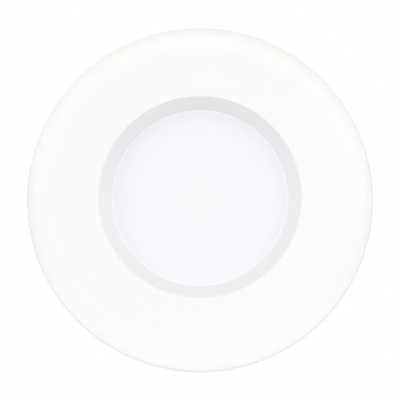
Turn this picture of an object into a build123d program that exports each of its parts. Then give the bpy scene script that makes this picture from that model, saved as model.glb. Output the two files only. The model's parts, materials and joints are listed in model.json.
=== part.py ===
from build123d import *
from math import ceil, cos, hypot, pi, radians, sin, sqrt
import os

os.makedirs("parts", exist_ok=True)

# All sizes are in millimetres, in the fitted pose. z points up into the ceiling void,
# z = 0 is the ceiling's lower face and the light shines down.

# Shared values
overrun = 1.0
thread_clearance = 0.05
slip_clearance = 0.3
screw_slot_width_share = 0.5
screw_slot_depth_share = 0.5

# Bezel, a pressed steel face plate
bezel_radius = 44.0
bezel_wall = 1.2
bezel_rear_gap = 0.4
rim_land = 0.3
face_width = 12.1
cone_width = 3.1
cone_depth = 2.6

# Layers between the ceiling and the bezel
ceiling_gasket_thickness = 1.5
flange_thickness = 1.7
lens_ring_thickness = 1.2
ring_screw_head_height = 1.0
front_room = 0.4

# Heat sink
spigot_inset = 10.0
flange_inset = 3.0
spigot_wall = 2.7
ledge_width = 2.8
chamber_depth = 12.7
platform_thickness = 4.0
fin_height = 18.0
fin_inset = 0.4
fin_count = 30
fin_thickness = 1.5
core_radius = 15.0
driver_post_radius = 3.2
driver_post_gap = 0.6
driver_post_angles = (90, 210, 330)
boss_margin = 0.5
recess_margin = 1.0
centring_tab_width = 4.0
centring_tab_thickness = 0.8
centring_tab_clearance = 0.6

# Ceiling gasket
ceiling_gasket_gap = 1.2
ceiling_gasket_width = 3.6

# Lens and its ring
lens_recess = 0.2
lens_clearance = 0.3
lens_bezel_gap = 0.1
lens_wall = 1.8
lens_edge_radius = 0.3
lens_side_wall = 1.8
lens_flange_thickness = 1.4
lens_gasket_thickness = 0.9
lens_gasket_width = 2.5
lens_ring_clearance = 0.7
lens_ring_lap = 3.5
ring_screw_radius = 0.95
ring_screw_head_radius = 1.75
ring_screw_depth_share = 0.85
fixing_count = 3

# Magnets that hold the bezel
magnet_radius = 1.9
magnet_height = 1.6
magnet_proud = 0.5
magnet_gap = 0.3
magnet_inset = 7.5
magnet_pocket_clearance = 0.1
magnet_post_radius = 2.5

# Light source
pad_thickness = 0.3
pad_half_side = 7.0
substrate_half_side = 6.75
substrate_thickness = 1.0
phosphor_radius = 5.0
phosphor_thickness = 0.3
holder_radius = 14.0
holder_window_radius = 6.0
holder_lip = 1.5
holder_clearance = 0.35
holder_notch_half_width = 2.2
holder_screw_offset = 11.0
holder_screw_radius = 1.2
holder_screw_head_radius = 2.2
holder_screw_head_height = 1.2
holder_screw_depth = 3.0

# Reflector
reflector_wall = 1.0
reflector_top_radius = 7.4
reflector_gap = 0.3

# Leads from the light source to the driver board
led_lead_radius = 0.55
led_lead_spacing = 0.75
led_lead_start = 5.6
led_lead_bend = 3.0
led_lead_offset = 11.0
led_hole_radius = 1.8

# Clip bracket
bracket_thickness = 1.0
bracket_margin = 0.4
bracket_foot = 0.5
bracket_head = 0.5
ear_clearance = 0.4
ear_thickness = 1.0
ear_radius = 2.2
clip_screw_radius = 1.4
clip_screw_head_radius = 2.2
clip_screw_head_height = 1.8
clip_screw_depth = 6.0
clip_screw_offset = 4.0
clip_screw_rise = 2.5
stop_half_width = 3.0
stop_thickness = 1.0
stop_drop = 5.2
stop_clearance = 0.4
stop_screw_gap = 0.1

# Clip arm
clip_hole_gap = 0.7
pivot_offset = 4.4
pin_radius = 1.5
pin_head_radius = 2.1
pin_head_height = 0.8
pin_clearance = 0.1
eye_radius = 2.4
eye_inner = 4.0
arm_half_width = 6.2
arm_thickness = 1.0
arm_tip_height = 0.7
arm_rest_angle = 22.0
arm_window_end = 4.2
arm_bead_height = 0.6
arm_bead_half_width = 1.2

# Clip pad
pad_length = 7.0
pad_skin = 0.7
pad_side = 0.5

# Torsion spring
wire_radius = 0.45
coil_radius = 2.2
coil_pitch = 1.62
coil_turns = 4
coil_eased_turns = 0.25
coil_ease_share = 0.5
leg_gap = 0.35
arm_leg_length = 17.0
leg_slot_clearance = 0.35

# Driver housing
housing_head_gap = 0.1
housing_wall = 1.6
housing_headroom = 3.1
housing_edge_radius = 1.5
base_thickness = 1.5
lug_radius = 3.4
lug_thickness = 1.6
driver_screw_radius = 1.4
driver_screw_head_radius = 2.6
driver_screw_head_height = 1.6
driver_screw_depth = 6.0
standoff_radius = 2.2
standoff_height = 2.2
standoff_inset = 3.0
standoff_angles = (45, 165, 290)

# Driver board and its components
board_gap = 1.9
board_thickness = 1.6
transformer_length_share = 0.62
transformer_width_share = 0.5
transformer_height = 10.0
transformer_y_share = -0.58
winding_share = 0.7
core_arm_share = 0.22
input_capacitor_radius_share = 0.21
input_capacitor_height = 10.5
capacitor_x_share = 0.65
capacitor_y_share = -0.37
output_capacitor_radius_share = 0.17
output_capacitor_height = 9.5
vent_depth = 0.3
vent_radius_share = 0.5
choke_radius_share = 0.19
choke_height = 7.0
choke_waist_share = 0.72
choke_rim_share = 0.16
choke_x_share = -0.58
choke_y_share = 0.37
rectifier_length_share = 0.33
rectifier_width_share = 0.25
rectifier_height = 2.5
rectifier_x_share = 0.58
rectifier_y_share = 0.37
chip_length_share = 0.25
chip_width_share = 0.2
chip_height = 1.6
chip_x_share = 0.31
chip_y_share = 0.7
fuse_radius_share = 0.08
fuse_length_share = 0.33
fuse_x_share = -0.16
fuse_y_share = 0.7
fuse_cap_share = 0.2
fuse_waist_share = 0.9

# Terminal box
box_half_length = 22.0
box_half_width = 24.0
box_corner_radius = 4.0
box_wall = 1.6
block_headroom = 1.2
entry_width = 9.0
entry_height = 6.0
entry_rise = 2.6
box_screw_wall_gap = 3.0
box_screw_block_gap = 2.6
box_screw_radius = 1.4
box_screw_head_radius = 2.4
box_screw_head_height = 1.4
box_screw_depth = 1.4

# Cable clamps
clamp_inset = 5.5
clamp_end = 2.4
clamp_corner_share = 0.5
clamp_half_width = 2.2
clamp_thickness = 2.0
clamp_screw_x = 8.0
clamp_pillar_radius = 2.2
clamp_pillar_height = 2.6
clamp_screw_radius = 1.0
clamp_screw_head_radius = 1.8
clamp_screw_head_height = 1.0
clamp_screw_depth = 2.0
clamp_arch_radius = 9.0
clamp_arch_depth = 0.6

# Terminal block
block_end = 5.0
block_side = 2.0
block_height = 9.2
pole_pitch = 9.5
pole_count = 3
pole_bore_radius = 2.0
pole_rise = 4.0
tunnel_half_side = 2.6
tunnel_half_length = 5.0
tunnel_clearance = 0.1
terminal_screw_radius = 1.3
terminal_screw_y = 2.7
terminal_screw_drop = 0.8
screw_well_radius = 1.7
mains_lead_radius = 0.9
mains_lead_clearance = 0.3

# Lid and its hinge
lid_gap = 0.3
lid_thickness = 1.6
skirt_depth = 1.4
skirt_wall = 1.2
skirt_clearance = 0.5
hinge_offset = 2.0
knuckle_radius = 1.7
hinge_pin_radius = 0.9
hinge_pin_clearance = 0.1
knuckle_half_span = 12.0
knuckle_centre_share = 0.5
knuckle_gap = 0.3
lid_lift_width = 8.0
lid_lift_reach = 1.5

# Heights and radii that follow from the sizes above
flange_top = -ceiling_gasket_thickness
flange_front = flange_top - flange_thickness
ring_front = flange_front - lens_ring_thickness
bezel_back = ring_front - ring_screw_head_height - front_room
face_height = bezel_back - bezel_wall
bezel_depth = -face_height - bezel_rear_gap
shoulder_radius = bezel_depth - rim_land
annulus_radius = bezel_radius - shoulder_radius
cone_outer_radius = annulus_radius - face_width
cone_inner_radius = cone_outer_radius - cone_width
cone_edge = face_height + cone_depth
cone_length = hypot(cone_outer_radius - cone_inner_radius, cone_depth)
cone_run_share = (cone_outer_radius - cone_inner_radius) / cone_length
cone_rise_share = cone_depth / cone_length
cone_back_radius = cone_inner_radius + bezel_wall * cone_rise_share
cone_back_height = cone_edge + bezel_wall * cone_run_share
cone_slope = cone_run_share / cone_rise_share

flange_radius = bezel_radius - flange_inset
spigot_radius = bezel_radius - spigot_inset
magnet_circle = bezel_radius - magnet_inset
lens_front = cone_edge + lens_recess
lens_radius = cone_inner_radius - lens_bezel_gap
counterbore_radius = spigot_radius - spigot_wall
lens_flange_radius = counterbore_radius - lens_clearance
lens_flange_back = flange_front + lens_flange_thickness
ledge_height = lens_flange_back + lens_gasket_thickness
chamber_radius = counterbore_radius - ledge_width
lens_ring_inner = cone_back_radius + (cone_back_height - ring_front) * cone_slope + lens_ring_clearance
lens_ring_outer = counterbore_radius + lens_ring_lap
ring_screw_circle = (counterbore_radius + lens_ring_outer) / 2

platform_bottom = flange_front + chamber_depth
platform_top = platform_bottom + platform_thickness
fin_top = platform_top + fin_height
fin_radius = spigot_radius - fin_inset
driver_post_circle = spigot_radius - driver_post_radius - driver_post_gap

magnet_front = bezel_back + magnet_gap
post_front = magnet_front + magnet_proud
magnet_back = magnet_front + magnet_height

substrate_top = platform_bottom - pad_thickness
substrate_bottom = substrate_top - substrate_thickness
holder_bottom = substrate_bottom - holder_lip
lead_height = substrate_bottom - led_lead_radius

boss_face = spigot_radius - pivot_offset - eye_radius - clip_hole_gap
pivot_x = boss_face + pivot_offset
plate_face = boss_face + bracket_thickness
plate_bottom = platform_top + bracket_foot
plate_top = fin_top - bracket_head
clip_screw_height = plate_bottom + clip_screw_rise
stop_bottom = clip_screw_height + clip_screw_head_radius + stop_screw_gap
stop_top = stop_bottom + stop_thickness
pivot_z = stop_top + stop_drop
arm_length = (pivot_z - arm_tip_height) / cos(radians(arm_rest_angle))
ear_inner = arm_half_width + ear_clearance
bracket_half_width = ear_inner + ear_thickness + bracket_margin
boss_half_width = bracket_half_width + boss_margin
recess_half_width = boss_half_width + recess_margin
arm_near = coil_radius - wire_radius - leg_gap - arm_thickness
arm_far = arm_near + arm_thickness

base_top = fin_top + base_thickness
board_bottom = base_top + standoff_height
board_top = board_bottom + board_thickness
housing_radius = driver_post_circle - driver_screw_head_radius - housing_head_gap
housing_ceiling = board_top + max(transformer_height, input_capacitor_height) + housing_headroom
housing_top = housing_ceiling + housing_wall
board_radius = housing_radius - housing_wall - board_gap
standoff_circle = board_radius - standoff_inset
transformer_length = board_radius * transformer_length_share
transformer_width = board_radius * transformer_width_share
transformer_y = board_radius * transformer_y_share
box_floor = housing_top + box_wall
block_top = box_floor + block_height
box_top = block_top + block_headroom
lid_bottom = box_top + lid_gap
lid_top = lid_bottom + lid_thickness
hinge_x = -box_half_length - hinge_offset
hinge_z = (lid_bottom + lid_top) / 2
block_half_length = pole_pitch * (pole_count - 1) / 2 + block_end
block_half_width = tunnel_half_length + block_side
box_screw_x = box_half_length - box_wall - box_screw_head_radius - box_screw_wall_gap
box_screw_y = block_half_width + box_screw_head_radius + box_screw_block_gap
clamp_offset = box_half_width - clamp_inset
clamp_half_length = clamp_screw_x + clamp_end
pole_height = box_floor + pole_rise

upright = (Align.CENTER, Align.CENTER, Align.MIN)
low_corner = (Align.MIN, Align.MIN, Align.MIN)


def disc(radius, bottom, top, x=0, y=0):
    return Pos(x, y, bottom) * Cylinder(radius, top - bottom, align=upright)


def ring(inner, outer, bottom, top):
    return disc(outer, bottom, top) - disc(inner, bottom - overrun, top + overrun)


def block(x_low, x_high, y_low, y_high, bottom, top):
    body = Box(x_high - x_low, y_high - y_low, top - bottom, align=low_corner)
    return Pos(x_low, y_low, bottom) * body


def rod_along_y(radius, x, z, y_low, y_high):
    return Pos(x, y_low, z) * Rot(-90, 0, 0) * Cylinder(radius, y_high - y_low, align=upright)


def rod_along_x(radius, y, z, x_low, x_high):
    return Pos(x_low, y, z) * Rot(0, 90, 0) * Cylinder(radius, x_high - x_low, align=upright)


def slotted_head(radius, seat, end, x, y):
    # A screw head from its seat to its outer end, with a straight slot across that end
    height = end - seat
    past_end = end + overrun if height > 0 else end - overrun
    slot_floor = end - height * screw_slot_depth_share
    half_slot = abs(height) * screw_slot_width_share / 2
    slot = block(
        x - radius, x + radius, y - half_slot, y + half_slot,
        min(slot_floor, past_end), max(slot_floor, past_end),
    )
    return disc(radius, min(seat, end), max(seat, end), x, y) - slot


def turned(points):
    # A solid of revolution about z, from corners in radius and height
    corners = [(radius, 0, height) for radius, height in points]
    return revolve(make_face(Polyline(*corners, close=True)), Axis.Z)


def around(radius, angle):
    return radius * cos(radians(angle)), radius * sin(radians(angle))


def fixing_angles(offset):
    return [offset + step * 360 / fixing_count for step in range(fixing_count)]


def rounded_plate(half_length, half_width, corner_radius, bottom, top):
    outline = RectangleRounded(2 * half_length, 2 * half_width, corner_radius)
    return Pos(0, 0, bottom) * extrude(outline, top - bottom)


def save(solid, name, mirrored=False):
    shape = mirror(solid, Plane.YZ) if mirrored else solid
    if isinstance(shape, ShapeList) or len(shape.solids()) == 1:
        shape = shape.solids()[0]
    shape.label = name
    export_step(shape, "parts/" + name + ".step")


# The bezel's outline: rim, rounded shoulder, flat face and shallow cone
def bezel():
    inner_radius = bezel_radius - bezel_wall
    back_radius = cone_back_radius + (cone_back_height - bezel_back) * cone_slope
    centre_height = face_height + shoulder_radius
    small_radius = shoulder_radius - bezel_wall
    middle = pi / 4
    outer_run = shoulder_radius * sin(middle)
    inner_run = small_radius * sin(middle)
    outer_mid = (annulus_radius + outer_run, 0, centre_height - shoulder_radius * cos(middle))
    inner_mid = (annulus_radius + inner_run, 0, centre_height - small_radius * cos(middle))
    rim_outer = (bezel_radius, 0, -bezel_rear_gap)
    rim_inner = (inner_radius, 0, -bezel_rear_gap)
    land_outer = (bezel_radius, 0, centre_height)
    land_inner = (inner_radius, 0, centre_height)
    face_outer = (annulus_radius, 0, face_height)
    back_outer = (annulus_radius, 0, bezel_back)
    cone_top = (cone_inner_radius, 0, cone_edge)
    cone_back = (cone_back_radius, 0, cone_back_height)
    outline = [
        Line(rim_inner, rim_outer),
        Line(rim_outer, land_outer),
        ThreePointArc(land_outer, outer_mid, face_outer),
        Polyline(face_outer, (cone_outer_radius, 0, face_height), cone_top, cone_back),
        Polyline(cone_back, (back_radius, 0, bezel_back), back_outer),
        ThreePointArc(back_outer, inner_mid, land_inner),
        Line(land_inner, rim_inner),
    ]
    edges = [edge for piece in outline for edge in piece.edges()]
    return revolve(make_face(edges), Axis.Z)


def lens():
    back = lens_front + lens_wall
    hollow_radius = lens_radius - lens_side_wall
    body = turned([
        (0, lens_front),
        (lens_radius, lens_front),
        (lens_radius, flange_front),
        (lens_flange_radius, flange_front),
        (lens_flange_radius, lens_flange_back),
        (hollow_radius, lens_flange_back),
        (hollow_radius, back),
        (0, back),
    ])
    front_edge = body.edges().filter_by(GeomType.CIRCLE).sort_by(Axis.Z)[0]
    return fillet(front_edge, lens_edge_radius)


def lens_gasket():
    return ring(lens_flange_radius - lens_gasket_width, lens_flange_radius, lens_flange_back, ledge_height)


def lens_ring():
    body = ring(lens_ring_inner, lens_ring_outer, ring_front, flange_front)
    for angle in fixing_angles(0):
        x, y = around(magnet_circle, angle)
        body -= disc(magnet_post_radius + slip_clearance, ring_front - overrun, flange_front + overrun, x, y)
    for angle in fixing_angles(180 / fixing_count):
        x, y = around(ring_screw_circle, angle)
        body -= disc(ring_screw_radius + thread_clearance, ring_front - overrun, flange_front + overrun, x, y)
    return body


def ring_screw(angle):
    x, y = around(ring_screw_circle, angle)
    shank_top = flange_front + flange_thickness * ring_screw_depth_share
    head = slotted_head(ring_screw_head_radius, ring_front, ring_front - ring_screw_head_height, x, y)
    return head + disc(ring_screw_radius, ring_front, shank_top, x, y)


def magnet(angle):
    x, y = around(magnet_circle, angle)
    return disc(magnet_radius, magnet_front, magnet_back, x, y)


def ceiling_gasket():
    inner = spigot_radius + ceiling_gasket_gap
    return ring(inner, inner + ceiling_gasket_width, flange_top, 0)


# The heat sink's flange and spigot, with the lens ledge and the chamber
def sink_shell():
    return turned([
        (0, platform_bottom),
        (chamber_radius, platform_bottom),
        (chamber_radius, ledge_height),
        (counterbore_radius, ledge_height),
        (counterbore_radius, flange_front),
        (flange_radius, flange_front),
        (flange_radius, flange_top),
        (spigot_radius, flange_top),
        (spigot_radius, platform_top),
        (0, platform_top),
    ])


def fins():
    stack = disc(core_radius, platform_top, fin_top)
    for step in range(fin_count):
        fin = block(0, fin_radius, -fin_thickness / 2, fin_thickness / 2, platform_top, fin_top)
        stack += Rot(0, 0, step * 360 / fin_count) * fin
    return stack


def clip_recess():
    # Room for one clip among the fins, behind a flat boss
    boss = block(0, boss_face, -boss_half_width, boss_half_width, platform_top, fin_top)
    room = block(
        boss_face, spigot_radius + overrun, -recess_half_width, recess_half_width,
        platform_top, fin_top + overrun,
    )
    return boss, room


def heat_sink():
    stack = fins()
    boss, room = clip_recess()
    for turn in (0, 180):
        stack = stack + Rot(0, 0, turn) * boss - Rot(0, 0, turn) * room
    for angle in driver_post_angles:
        x, y = around(driver_post_circle, angle)
        stack += disc(driver_post_radius, platform_top, fin_top, x, y)
    body = sink_shell() + stack
    for angle in fixing_angles(0):
        x, y = around(magnet_circle, angle)
        body += disc(magnet_post_radius, post_front, flange_front, x, y)
        pocket_radius = magnet_radius + magnet_pocket_clearance
        body -= disc(pocket_radius, post_front - overrun, magnet_back, x, y)
    tab_radius = bezel_radius - bezel_wall - centring_tab_clearance
    for angle in fixing_angles(180 / fixing_count):
        tab = block(
            flange_radius - overrun, tab_radius, -centring_tab_width / 2, centring_tab_width / 2,
            flange_top - centring_tab_thickness, flange_top,
        )
        body += Rot(0, 0, angle) * tab
        x, y = around(ring_screw_circle, angle)
        hole_top = flange_front + flange_thickness * ring_screw_depth_share
        body -= disc(ring_screw_radius + thread_clearance, flange_front - overrun, hole_top, x, y)
    for side in (-1, 1):
        body -= disc(
            holder_screw_radius + thread_clearance, platform_bottom - overrun,
            platform_bottom + holder_screw_depth, side * holder_screw_offset, 0,
        )
        for across in (-1, 1):
            body -= rod_along_x(
                clip_screw_radius + thread_clearance, across * clip_screw_offset, clip_screw_height,
                min(side * boss_face, side * (boss_face - clip_screw_depth)),
                max(side * boss_face, side * (boss_face - clip_screw_depth)),
            )
    for angle in driver_post_angles:
        x, y = around(driver_post_circle, angle)
        body -= disc(
            driver_screw_radius + thread_clearance, fin_top - driver_screw_depth, fin_top + overrun, x, y,
        )
    body -= disc(led_hole_radius, platform_bottom - overrun, fin_top + overrun, 0, led_lead_offset)
    return body


def square_plate(half_side, bottom, top):
    return block(-half_side, half_side, -half_side, half_side, bottom, top)


def led_holder():
    body = disc(holder_radius, holder_bottom, platform_bottom)
    pocket_half_side = pad_half_side + holder_clearance
    body -= square_plate(pocket_half_side, substrate_bottom, platform_bottom + overrun)
    body -= disc(holder_window_radius, holder_bottom - overrun, substrate_bottom + overrun)
    body -= block(
        -holder_notch_half_width, holder_notch_half_width, led_lead_start - holder_clearance, holder_radius,
        holder_bottom - overrun, platform_bottom + overrun,
    )
    for side in (-1, 1):
        x = side * holder_screw_offset
        body -= disc(
            holder_screw_radius + thread_clearance, holder_bottom - overrun, platform_bottom + overrun, x, 0,
        )
        body -= disc(
            holder_screw_head_radius + slip_clearance, holder_bottom - overrun,
            holder_bottom + holder_screw_head_height, x, 0,
        )
    return body


def holder_screw(side):
    x = side * holder_screw_offset
    head_top = holder_bottom + holder_screw_head_height
    head = slotted_head(holder_screw_head_radius, head_top, holder_bottom, x, 0)
    return head + disc(holder_screw_radius, head_top, platform_bottom + holder_screw_depth, x, 0)


def reflector():
    bottom = lens_flange_back + reflector_gap
    top = holder_bottom - reflector_gap
    outer = chamber_radius - reflector_gap
    return turned([
        (reflector_top_radius, top),
        (reflector_top_radius + reflector_wall, top),
        (outer, bottom + reflector_wall),
        (outer, bottom),
        (outer - reflector_wall, bottom),
    ])


# One soft lead: along under the substrate, round a bend and up to the board
def led_lead(side):
    x = side * led_lead_spacing
    bend_start = led_lead_offset - led_lead_bend
    corner = (x, led_lead_offset, lead_height + led_lead_bend)
    path = Line((x, led_lead_start, lead_height), (x, bend_start, lead_height))
    path += TangentArc((x, bend_start, lead_height), corner, tangent=(0, 1, 0))
    path += Line(corner, (x, led_lead_offset, board_bottom))
    section = Plane((x, led_lead_start, lead_height), z_dir=(0, 1, 0)) * Circle(led_lead_radius)
    return sweep(section, path)


# The clips are drawn at the right-hand side; the left-hand ones are their mirror image.
# Along the arm runs towards its tip, and out is the side that faces away from the light.
rest = radians(arm_rest_angle)


def clip_point(along, out, y):
    x = pivot_x + along * sin(rest) + out * cos(rest)
    z = pivot_z - along * cos(rest) + out * sin(rest)
    return x, y, z


def clip_slab(along_low, along_high, out_low, out_high, y_low, y_high):
    corners = [
        clip_point(along_low, out_low, y_low),
        clip_point(along_high, out_low, y_low),
        clip_point(along_high, out_high, y_low),
        clip_point(along_low, out_high, y_low),
    ]
    return extrude(make_face(Polyline(*corners, close=True)), amount=y_high - y_low, dir=(0, 1, 0))


def clip_bracket():
    body = block(boss_face, plate_face, -bracket_half_width, bracket_half_width, plate_bottom, plate_top)
    for side in (-1, 1):
        y_low = min(side * ear_inner, side * (ear_inner + ear_thickness))
        y_high = y_low + ear_thickness
        body += block(boss_face, pivot_x, y_low, y_high, pivot_z - ear_radius, pivot_z + ear_radius)
        body += rod_along_y(ear_radius, pivot_x, pivot_z, y_low, y_high)
        body -= rod_along_x(
            clip_screw_radius + slip_clearance, side * clip_screw_offset, clip_screw_height,
            boss_face - overrun, plate_face + overrun,
        )
    body -= rod_along_y(
        pin_radius + thread_clearance, pivot_x, pivot_z,
        -ear_inner - ear_thickness - overrun, ear_inner + ear_thickness + overrun,
    )
    along = (stop_drop + arm_near * sin(rest)) / cos(rest)
    stop_reach = clip_point(along, arm_near, 0)[0] - stop_clearance / cos(rest)
    body += block(boss_face, stop_reach, -stop_half_width, stop_half_width, stop_bottom, stop_top)
    slot_half_width = wire_radius + leg_slot_clearance
    leg_y = spring_half_length()
    body -= block(
        boss_face - overrun, plate_face + overrun, leg_y - slot_half_width, leg_y + slot_half_width,
        pivot_z + coil_radius - slot_half_width, pivot_z + coil_radius + slot_half_width,
    )
    return body


def clip_pin():
    reach = ear_inner + ear_thickness
    body = rod_along_y(pin_radius, pivot_x, pivot_z, -reach - pin_head_height, reach + pin_head_height)
    for side in (-1, 1):
        y_low = min(side * reach, side * (reach + pin_head_height))
        body += rod_along_y(pin_head_radius, pivot_x, pivot_z, y_low, y_low + pin_head_height)
    return body


def clip_screws():
    half_slot = clip_screw_head_height * screw_slot_width_share / 2
    screws = []
    for across in (-1, 1):
        y = across * clip_screw_offset
        shank = rod_along_x(clip_screw_radius, y, clip_screw_height, boss_face - clip_screw_depth, plate_face)
        head_end = plate_face + clip_screw_head_height
        head = rod_along_x(clip_screw_head_radius, y, clip_screw_height, plate_face, head_end)
        head -= block(
            head_end - clip_screw_head_height * screw_slot_depth_share, head_end + overrun,
            y - clip_screw_head_radius, y + clip_screw_head_radius,
            clip_screw_height - half_slot, clip_screw_height + half_slot,
        )
        screws.append(shank + head)
    return Compound(children=screws)


def clip_arm():
    body = clip_slab(0, arm_length, arm_near, arm_far, -arm_half_width, arm_half_width)
    for side in (-1, 1):
        y_low = min(side * eye_inner, side * arm_half_width)
        y_high = max(side * eye_inner, side * arm_half_width)
        body += rod_along_y(eye_radius, pivot_x, pivot_z, y_low, y_high)
    body -= clip_slab(-eye_radius, arm_window_end, -eye_radius, eye_radius, -eye_inner, eye_inner)
    body += clip_slab(
        arm_window_end + overrun, arm_length - pad_length - overrun, arm_far, arm_far + arm_bead_height,
        -arm_bead_half_width, arm_bead_half_width,
    )
    body -= rod_along_y(
        pin_radius + pin_clearance, pivot_x, pivot_z, -arm_half_width - overrun, arm_half_width + overrun,
    )
    return body


def clip_pad():
    start = arm_length - pad_length
    half_width = arm_half_width + pad_side
    end = arm_length + pad_skin
    body = clip_slab(start, end, arm_near - pad_skin, arm_far + pad_skin, -half_width, half_width)
    end_edges = body.edges().filter_by(Axis.Y).sort_by_distance(clip_point(arm_length, arm_near, 0))[:2]
    body = fillet(end_edges, pad_skin)
    return body - clip_slab(start - overrun, arm_length, arm_near, arm_far, -arm_half_width, arm_half_width)


def spring_half_length():
    # The first and last quarter turns climb at half the rate
    swept_turns = coil_turns + (90 - arm_rest_angle) / 360
    return coil_pitch * (swept_turns - coil_eased_turns) / 2


def spring_stations():
    # Points and directions on the coil, one for each quarter turn
    swept = 360 * coil_turns + 90 - arm_rest_angle
    count = ceil(swept / 90)
    step = swept / count
    rise = 2 * spring_half_length() / (count - 1)
    stations = []
    for index in range(count + 1):
        angle = radians(arm_rest_angle + index * step)
        y = -spring_half_length() + rise * (index - coil_ease_share)
        slope = rise / radians(step)
        if index == 0:
            y = -spring_half_length()
            slope = 0
        if index == count:
            y = spring_half_length()
            slope = 0
        point = Vector(pivot_x + coil_radius * cos(angle), y, pivot_z + coil_radius * sin(angle))
        direction = Vector(-coil_radius * sin(angle), slope, coil_radius * cos(angle)).normalized()
        stations.append((point, direction))
    return stations


def biarc(start, start_direction, end, end_direction):
    # Two arcs that meet smoothly between two points with given directions
    chord = end - start
    total = start_direction + end_direction
    bend = 2 * (1 - start_direction.dot(end_direction))
    reach = (-chord.dot(total) + sqrt(chord.dot(total) ** 2 + bend * chord.dot(chord))) / bend
    first = start + start_direction * reach
    last = end - end_direction * reach
    middle = (first + last) / 2
    return [
        TangentArc(start, middle, tangent=start_direction),
        TangentArc(middle, end, tangent=last - first),
    ]


def spring_path():
    stations = spring_stations()
    coil_start, start_direction = stations[0]
    coil_end, end_direction = stations[-1]
    leg_tip = coil_start - start_direction * arm_leg_length
    inner_tip = Vector(plate_face - bracket_thickness / 2, coil_end.Y, coil_end.Z)
    pieces = [Line(leg_tip, coil_start)]
    for index in range(len(stations) - 1):
        pieces += biarc(*stations[index], *stations[index + 1])
    pieces.append(Line(coil_end, inner_tip))
    return pieces, leg_tip, start_direction


def torsion_spring():
    pieces, leg_tip, direction = spring_path()
    path = Wire([edge for piece in pieces for edge in piece.edges()])
    section = Plane(leg_tip, z_dir=direction) * Circle(wire_radius)
    return sweep(section, path)


def least_gap(pieces):
    # Distance between stretches of wire that are half a turn or more apart
    points = []
    travelled = 0
    spacing = wire_radius / 2
    for piece in pieces:
        for edge in piece.edges():
            count = ceil(edge.length / spacing)
            for index in range(count):
                points.append((travelled + edge.length * index / count, edge.position_at(index / count)))
            travelled += edge.length
    apart = pi * coil_radius
    least = travelled
    for near, point in points:
        for far, other in points:
            if far - near > apart:
                least = min(least, (point - other).length)
    return least - 2 * wire_radius


def lugs(bottom, top):
    body = None
    for angle in driver_post_angles:
        x, y = around(driver_post_circle, angle)
        lug = disc(lug_radius, bottom, top, x, y)
        neck = block(housing_radius - housing_wall, driver_post_circle, -lug_radius, lug_radius, bottom, top)
        lug += Rot(0, 0, angle) * neck
        body = lug if body is None else body + lug
    return body


def drill_lugs(body, bottom, top):
    for angle in driver_post_angles:
        x, y = around(driver_post_circle, angle)
        body -= disc(driver_screw_radius + thread_clearance, bottom - overrun, top + overrun, x, y)
    return body


def driver_base():
    body = disc(housing_radius, fin_top, base_top) + lugs(fin_top, base_top)
    for angle in standoff_angles:
        x, y = around(standoff_circle, angle)
        body += disc(standoff_radius, base_top, board_bottom, x, y)
    body = drill_lugs(body, fin_top, base_top)
    return body - disc(led_hole_radius, fin_top - overrun, base_top + overrun, 0, led_lead_offset)


def driver_housing():
    shell = disc(housing_radius, base_top, housing_top)
    top_edge = shell.edges().filter_by(GeomType.CIRCLE).sort_by(Axis.Z)[-1]
    shell = fillet(top_edge, housing_edge_radius)
    body = shell + lugs(base_top, base_top + lug_thickness)
    body -= disc(housing_radius - housing_wall, base_top - overrun, housing_ceiling)
    body = drill_lugs(body, base_top, base_top + lug_thickness)
    for side in (-1, 1):
        hole_radius = mains_lead_radius + mains_lead_clearance
        body -= disc(hole_radius, housing_ceiling - overrun, housing_top + overrun, side * pole_pitch, 0)
        body -= disc(
            box_screw_radius + thread_clearance, housing_top - box_screw_depth, housing_top + overrun,
            side * box_screw_x, side * box_screw_y,
        )
    return body


def driver_screw(angle):
    x, y = around(driver_post_circle, angle)
    seat = base_top + lug_thickness
    head = slotted_head(driver_screw_head_radius, seat, seat + driver_screw_head_height, x, y)
    return head + disc(driver_screw_radius, fin_top - driver_screw_depth, seat, x, y)


def driver_board():
    return disc(board_radius, board_bottom, board_top)


def transformer_core():
    half_length = transformer_length / 2
    half_width = transformer_width / 2
    arm = transformer_length * core_arm_share
    top = board_top + transformer_height
    body = block(
        -half_length, half_length, transformer_y - half_width, transformer_y + half_width, board_top, top,
    )
    window = block(
        -half_length + arm, half_length - arm,
        transformer_y - half_width - overrun, transformer_y + half_width + overrun,
        board_top - overrun, top - arm,
    )
    return body - window


def transformer_winding():
    half_length = transformer_length / 2 - transformer_length * core_arm_share - slip_clearance
    half_width = transformer_width * winding_share / 2
    top = board_top + transformer_height - transformer_length * core_arm_share - slip_clearance
    return block(
        -half_length, half_length, transformer_y - half_width, transformer_y + half_width, board_top, top,
    )


def capacitor(radius_share, height, x_share):
    radius = board_radius * radius_share
    x = board_radius * x_share
    y = board_radius * capacitor_y_share
    top = board_top + height
    body = disc(radius, board_top, top, x, y)
    return body - disc(radius * vent_radius_share, top - vent_depth, top + overrun, x, y)


def choke():
    top = board_top + choke_height
    rim = choke_height * choke_rim_share
    radius = board_radius * choke_radius_share
    x = board_radius * choke_x_share
    y = board_radius * choke_y_share
    body = disc(radius * choke_waist_share, board_top, top, x, y)
    body += disc(radius, board_top, board_top + rim, x, y)
    return body + disc(radius, top - rim, top, x, y)


def board_block(length_share, width_share, height, x_share, y_share):
    half_length = board_radius * length_share / 2
    half_width = board_radius * width_share / 2
    x = board_radius * x_share
    y = board_radius * y_share
    top = board_top + height
    return block(x - half_length, x + half_length, y - half_width, y + half_width, board_top, top)


def fuse():
    radius = board_radius * fuse_radius_share
    length = board_radius * fuse_length_share
    y = board_radius * fuse_y_share
    z = board_top + radius
    low = board_radius * fuse_x_share - length / 2
    high = low + length
    cap = length * fuse_cap_share
    body = rod_along_x(radius * fuse_waist_share, y, z, low, high)
    body += rod_along_x(radius, y, z, low, low + cap)
    return body + rod_along_x(radius, y, z, high - cap, high)


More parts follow.
